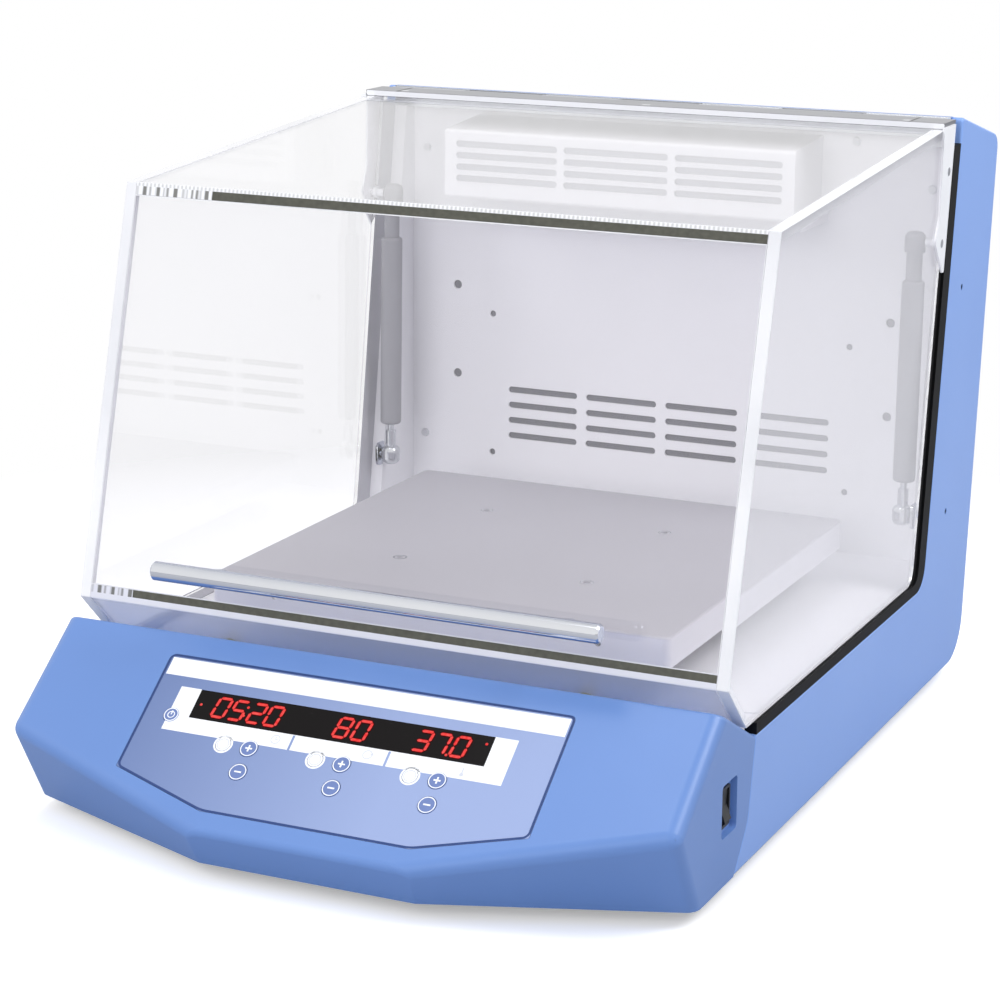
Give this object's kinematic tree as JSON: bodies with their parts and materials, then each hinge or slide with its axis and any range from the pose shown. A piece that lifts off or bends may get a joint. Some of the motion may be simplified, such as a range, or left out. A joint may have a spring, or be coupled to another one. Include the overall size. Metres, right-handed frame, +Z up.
{
  "type": "incubated benchtop shaker",
  "caption": "Incubated benchtop orbital shaker: clear lift-up hood on gas springs, orbiting platform, heated fan chamber, sloping front console with membrane keys and display.",
  "frame": {"origin": "centre of the overall box on the bench", "axes": "+X viewer's right from the front, +Y to the back, +Z up; the console faces -Y"},
  "size_m": [0.465, 0.678, 0.43],
  "materials": {
    "blue_paint": "satin powder coat",
    "blue_console": "satin powder coat",
    "steel": "bright zinc plated",
    "membrane_film": "matt printed film",
    "display_window": "smoked gloss window",
    "circuit_board": "solder mask",
    "black_plastic": "fine grain",
    "grey_rubber": "matt",
    "black_rubber": "matt",
    "zinc_sheet": "matt grey",
    "chamber_paint": "satin light grey powder coat",
    "heater_steel": "dark heated steel",
    "aluminium": "plain",
    "bar_steel": "satin anodised",
    "bracket_paint": "white",
    "clear_acrylic": "clear polished acrylic",
    "chrome": "polished",
    "spring_paint": "grey enamel",
    "cast_aluminium": "as cast",
    "tray_paint": "matt grey powder coat",
    "nozzle_brass": "turned",
    "key_film": "printed film"
  },
  "bodies": {
    "housing": {"side_panel_left": "blue_paint", "side_panel_right": "blue_paint", "housing_screws": "steel", "rear_cover": "blue_paint", "console": "blue_console", "membrane": "membrane_film", "display_window": "display_window", "display_board": "circuit_board", "rocker_housing": "black_plastic", "bumpers": "grey_rubber", "base_pan": "zinc_sheet", "feet": "black_rubber", "ledge_plate": "blue_paint", "chamber_floor": "chamber_paint", "chamber_wall_left": "chamber_paint", "chamber_wall_right": "chamber_paint", "back_wall": "chamber_paint", "heater_box": "chamber_paint", "heater_element": "heater_steel", "fan_motor": "black_plastic", "hood_seals": "black_rubber", "hinge_rail": "steel", "lower_studs": "steel", "bearing_housing": "cast_aluminium", "motor": "black_plastic", "mains_inlet": "black_plastic", "data_sockets": "steel", "coolant_nozzles": "nozzle_brass"},
    "hood": {"hinge_bar": "bar_steel", "hood_top": "clear_acrylic", "hood_front": "clear_acrylic", "hood_lower": "clear_acrylic", "hood_left": "clear_acrylic", "hood_right": "clear_acrylic", "hood_brackets": "bracket_paint", "hood_screws": "steel", "handle_rod": "chrome", "handle_posts": "chrome"},
    "spring_rod_left": {"spring_rod_left": "steel"},
    "spring_rod_right": {"spring_rod_right": "steel"},
    "spring_tube_left": {"spring_tube_left": "spring_paint"},
    "spring_tube_right": {"spring_tube_right": "spring_paint"},
    "drive": {"drive_shaft": "steel"},
    "platform": {"platform_tray": "tray_paint", "platform_carrier": "cast_aluminium", "platform_inserts": "steel"},
    "guide_crank_1": {"guide_crank_1": "steel"},
    "guide_crank_2": {"guide_crank_2": "steel"},
    "fan": {"fan_rotor": "aluminium"},
    "rocker": {"rocker": "black_plastic"},
    "key_power": {"key_power": "key_film"},
    "key_time_select": {"key_time_select": "key_film"},
    "key_time_plus": {"key_time_plus": "key_film"},
    "key_time_minus": {"key_time_minus": "key_film"},
    "key_speed_select": {"key_speed_select": "key_film"},
    "key_speed_plus": {"key_speed_plus": "key_film"},
    "key_speed_minus": {"key_speed_minus": "key_film"},
    "key_heat_select": {"key_heat_select": "key_film"},
    "key_heat_plus": {"key_heat_plus": "key_film"},
    "key_heat_minus": {"key_heat_minus": "key_film"}
  },
  "joints": [
    {"name": "hood_hinge", "type": "hinge", "parent": "housing", "child": "hood", "pos_m": [0, 0.231, 0.4256], "axis": [-1, 0, 0], "range_deg": [0, 60]},
    {"name": "spring_tilt_left", "type": "hinge", "parent": "housing", "child": "spring_rod_left", "pos_m": [-0.2067, 0.19371, 0.143], "axis": [1, 0, 0], "range_deg": [0, 11.65]},
    {"name": "spring_stroke_left", "type": "slide", "parent": "spring_rod_left", "child": "spring_tube_left", "axis": [0, 0.0218, 0.9998], "range_m": [0, 0.07363]},
    {"name": "spring_tilt_right", "type": "hinge", "parent": "housing", "child": "spring_rod_right", "pos_m": [0.2067, 0.19371, 0.143], "axis": [1, 0, 0], "range_deg": [0, 11.65]},
    {"name": "spring_stroke_right", "type": "slide", "parent": "spring_rod_right", "child": "spring_tube_right", "axis": [0, 0.0218, 0.9998], "range_m": [0, 0.07363]},
    {"name": "drive_spin", "type": "hinge", "parent": "housing", "child": "drive", "pos_m": [0, 0.0035, 0.1], "axis": [0, 0, 1], "continuous": true},
    {"name": "platform_orbit", "type": "hinge", "parent": "drive", "child": "platform", "pos_m": [0, 0.0135, 0.11], "axis": [0, 0, 1], "continuous": true},
    {"name": "guide_spin_1", "type": "hinge", "parent": "housing", "child": "guide_crank_1", "pos_m": [-0.0792, 0.0827, 0.09], "axis": [0, 0, 1], "continuous": true},
    {"name": "guide_spin_2", "type": "hinge", "parent": "housing", "child": "guide_crank_2", "pos_m": [0.0792, -0.0757, 0.09], "axis": [0, 0, 1], "continuous": true},
    {"name": "fan_spin", "type": "hinge", "parent": "housing", "child": "fan", "pos_m": [-0.062, 0.24, 0.372], "axis": [0, -1, 0], "continuous": true},
    {"name": "power_rocker", "type": "hinge", "parent": "housing", "child": "rocker", "pos_m": [0.224, -0.214, 0.0588], "axis": [0, 1, 0], "range_deg": [0, 16]},
    {"name": "press_power", "type": "slide", "parent": "housing", "child": "key_power", "axis": [0, 0.6143, -0.7891], "range_m": [0, 0.0005], "stiffness_N_per_m": 400},
    {"name": "press_time_select", "type": "slide", "parent": "housing", "child": "key_time_select", "axis": [0, 0.6143, -0.7891], "range_m": [0, 0.0005], "stiffness_N_per_m": 400},
    {"name": "press_time_plus", "type": "slide", "parent": "housing", "child": "key_time_plus", "axis": [0, 0.6143, -0.7891], "range_m": [0, 0.0005], "stiffness_N_per_m": 400},
    {"name": "press_time_minus", "type": "slide", "parent": "housing", "child": "key_time_minus", "axis": [0, 0.6143, -0.7891], "range_m": [0, 0.0005], "stiffness_N_per_m": 400},
    {"name": "press_speed_select", "type": "slide", "parent": "housing", "child": "key_speed_select", "axis": [0, 0.6143, -0.7891], "range_m": [0, 0.0005], "stiffness_N_per_m": 400},
    {"name": "press_speed_plus", "type": "slide", "parent": "housing", "child": "key_speed_plus", "axis": [0, 0.6143, -0.7891], "range_m": [0, 0.0005], "stiffness_N_per_m": 400},
    {"name": "press_speed_minus", "type": "slide", "parent": "housing", "child": "key_speed_minus", "axis": [0, 0.6143, -0.7891], "range_m": [0, 0.0005], "stiffness_N_per_m": 400},
    {"name": "press_heat_select", "type": "slide", "parent": "housing", "child": "key_heat_select", "axis": [0, 0.6143, -0.7891], "range_m": [0, 0.0005], "stiffness_N_per_m": 400},
    {"name": "press_heat_plus", "type": "slide", "parent": "housing", "child": "key_heat_plus", "axis": [0, 0.6143, -0.7891], "range_m": [0, 0.0005], "stiffness_N_per_m": 400},
    {"name": "press_heat_minus", "type": "slide", "parent": "housing", "child": "key_heat_minus", "axis": [0, 0.6143, -0.7891], "range_m": [0, 0.0005], "stiffness_N_per_m": 400}
  ],
  "couplings": [
    {"joint": "spring_tilt_left", "follows": "hood_hinge", "ratio": 0.1939},
    {"joint": "spring_stroke_left", "follows": "hood_hinge", "m_per_rad": 0.070289},
    {"joint": "spring_tilt_right", "follows": "hood_hinge", "ratio": 0.1939},
    {"joint": "spring_stroke_right", "follows": "hood_hinge", "m_per_rad": 0.070289},
    {"joint": "platform_orbit", "follows": "drive_spin", "ratio": -1},
    {"joint": "guide_spin_1", "follows": "drive_spin", "ratio": 1},
    {"joint": "guide_spin_2", "follows": "drive_spin", "ratio": 1}
  ]
}
